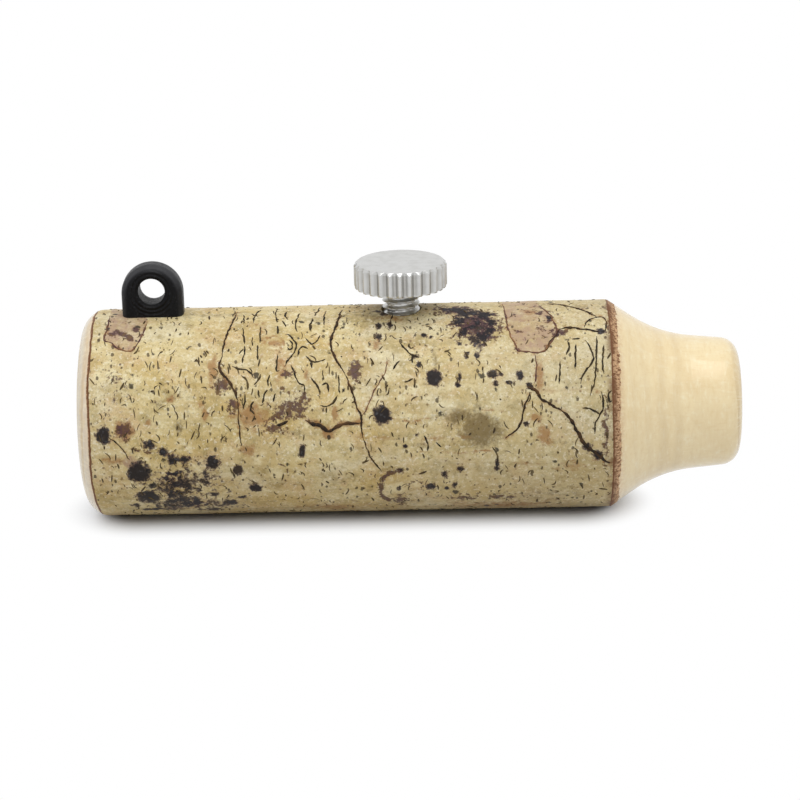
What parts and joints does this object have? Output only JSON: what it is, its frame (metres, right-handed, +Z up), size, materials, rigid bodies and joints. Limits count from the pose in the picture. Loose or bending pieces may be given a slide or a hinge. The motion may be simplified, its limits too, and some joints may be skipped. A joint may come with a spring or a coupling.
{
  "type": "roe deer call",
  "caption": "Mouth-blown roe deer call: a bark-covered branch turned to a mouthpiece, with a knurled tuning screw over an inner reed and a lanyard eye.",
  "frame": {"origin": "middle of the call's length, below its axis, on the surface that it lies on", "axes": "+X along the call towards the mouthpiece, +Z up through the tuning screw, camera side is -Y"},
  "size_m": [0.0708, 0.0224, 0.0281],
  "materials": {
    "turned_wood": "pale turned wood under clear varnish",
    "bark": "smooth varnished bark with crustose lichen",
    "black_plastic": "black moulded plastic, satin",
    "steel": "bright nickel-toned steel, satin top, knurled rim",
    "nylon": "natural nylon",
    "bronze": "spring bronze sheet",
    "bar_plastic": "dark machined plastic",
    "cork": "cork",
    "seal_rubber": "black rubber"
  },
  "bodies": {
    "call_body": {"wooden_body": "turned_wood", "bark_sleeve": "bark", "lanyard_eye": "black_plastic", "reed_carrier": "bar_plastic", "reed_wedge": "cork", "seal_ring": "seal_rubber"},
    "pad": {"pressure_pad": "nylon"},
    "screw": {"tuning_screw": "steel"},
    "reed": {"reed": "bronze"}
  },
  "joints": [
    {"name": "screw_travel", "type": "slide", "parent": "call_body", "child": "pad", "axis": [0, 0, 1], "range_m": [-0.0007, 0.0007]},
    {"name": "screw_turn", "type": "hinge", "parent": "pad", "child": "screw", "pos_m": [-0.0009, 0, 0.0235], "axis": [0, 0, 1], "range_deg": [-360, 360]},
    {"name": "reed_flex", "type": "hinge", "parent": "call_body", "child": "reed", "pos_m": [-0.0109, 0, 0.01198], "axis": [0, -1, 0], "range_deg": [-4.1, 4.1]}
  ],
  "couplings": [
    {"joint": "screw_turn", "follows": "screw_travel", "rad_per_m": 8976},
    {"joint": "reed_flex", "follows": "screw_travel", "rad_per_m": 100}
  ]
}
